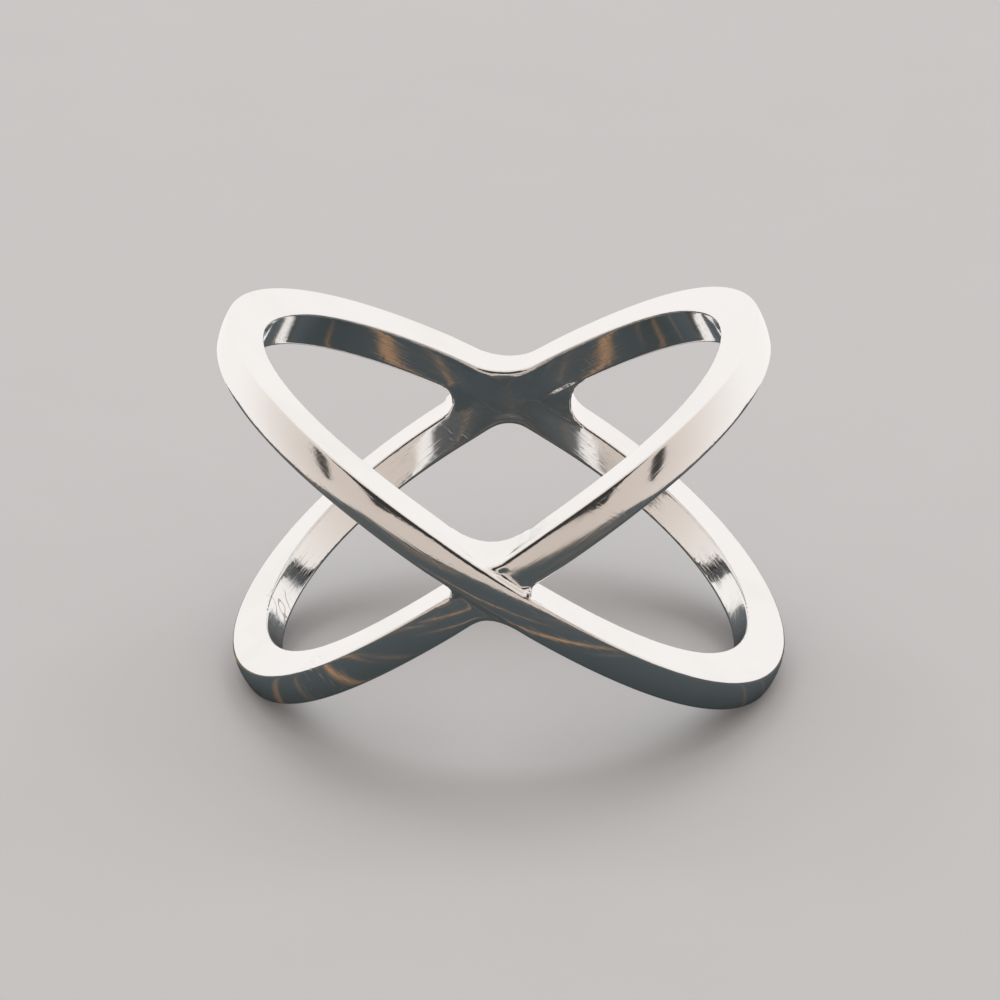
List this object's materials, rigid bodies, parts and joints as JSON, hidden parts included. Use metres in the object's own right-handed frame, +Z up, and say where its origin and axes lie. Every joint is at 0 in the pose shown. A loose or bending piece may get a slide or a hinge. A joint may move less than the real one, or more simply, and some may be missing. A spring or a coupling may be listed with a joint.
{
  "type": "crossover ring",
  "caption": "Polished finger ring: two narrow oval bands lean opposite ways, cross at the front and at the back, and are one piece where they cross.",
  "frame": {"origin": "middle of the finger hole, on its axis", "axes": "+Z up with the ring lying on its two low lobes, +Y to the back, +X to the right; the finger hole's axis leans 2.7 degrees from +Z towards -X"},
  "size_m": [0.0214, 0.0214, 0.0144],
  "materials": {
    "silver": "mirror polish with fine handling scratches"
  },
  "bodies": {
    "root": {"ring": "silver"}
  },
  "joints": []
}
